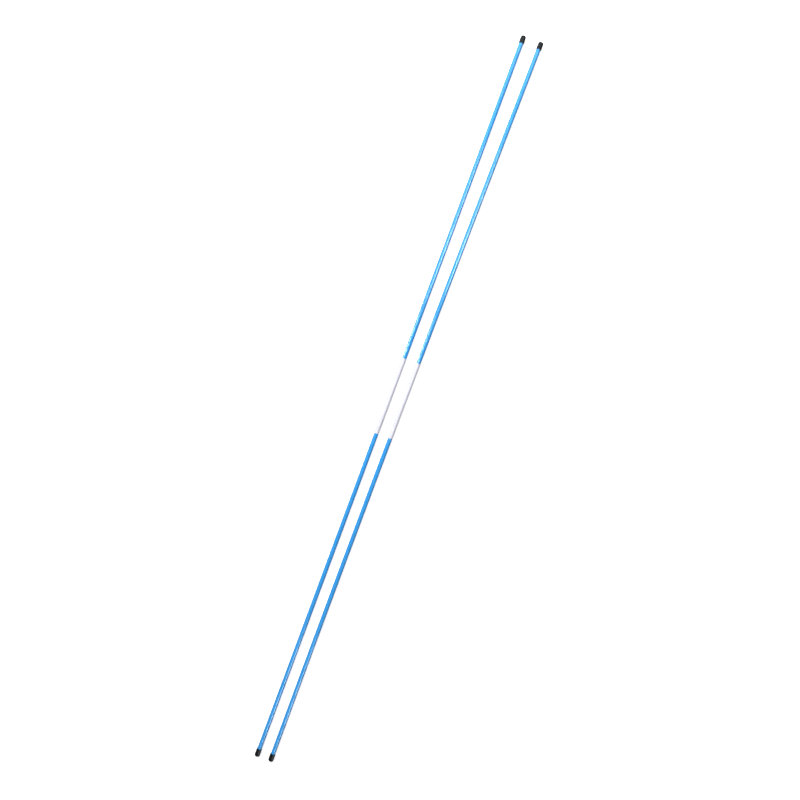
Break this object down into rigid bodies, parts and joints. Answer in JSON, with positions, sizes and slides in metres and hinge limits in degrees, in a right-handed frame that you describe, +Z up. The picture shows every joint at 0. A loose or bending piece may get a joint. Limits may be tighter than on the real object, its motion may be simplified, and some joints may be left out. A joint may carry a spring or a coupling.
{
  "type": "alignment stick pair",
  "caption": "Slim blue fibreglass alignment sticks lying side by side, each a full-length solid rod with a white sleeve at mid-length and soft push-on caps on its ends.",
  "frame": {"origin": "on the floor under the middle of the pair", "axes": "+X along the sticks to their heads, +Y from the right stick to the left stick, +Z up from the floor they lie on"},
  "size_m": [1.2192, 0.0378, 0.0084],
  "materials": {
    "blue_fibreglass": "glossy pigmented resin over straight glass fibre",
    "white_sleeve": "satin shrunk film",
    "black_cap": "soft satin moulded vinyl"
  },
  "bodies": {
    "left_stick": {"left_rod": "blue_fibreglass", "left_centre_sleeve": "white_sleeve"},
    "left_head": {"left_head_cap": "black_cap"},
    "left_foot": {"left_foot_cap": "black_cap"},
    "right_stick": {"right_rod": "blue_fibreglass", "right_centre_sleeve": "white_sleeve"},
    "right_head": {"right_head_cap": "black_cap"},
    "right_foot": {"right_foot_cap": "black_cap"}
  },
  "joints": [
    {"name": "right_stick_shift", "type": "slide", "parent": "left_stick", "child": "right_stick", "axis": [0, -1, 0], "range_m": [-0.0135, 0.45]},
    {"name": "left_head_cap_pull", "type": "slide", "parent": "left_stick", "child": "left_head", "axis": [1, 0, 0], "range_m": [0, 0.025]},
    {"name": "left_foot_cap_pull", "type": "slide", "parent": "left_stick", "child": "left_foot", "axis": [-1, 0, 0], "range_m": [0, 0.025]},
    {"name": "right_head_cap_pull", "type": "slide", "parent": "right_stick", "child": "right_head", "axis": [0.9999, -0.0142, 0], "range_m": [0, 0.025]},
    {"name": "right_foot_cap_pull", "type": "slide", "parent": "right_stick", "child": "right_foot", "axis": [-1, -0.0036, 0], "range_m": [0, 0.025]}
  ]
}
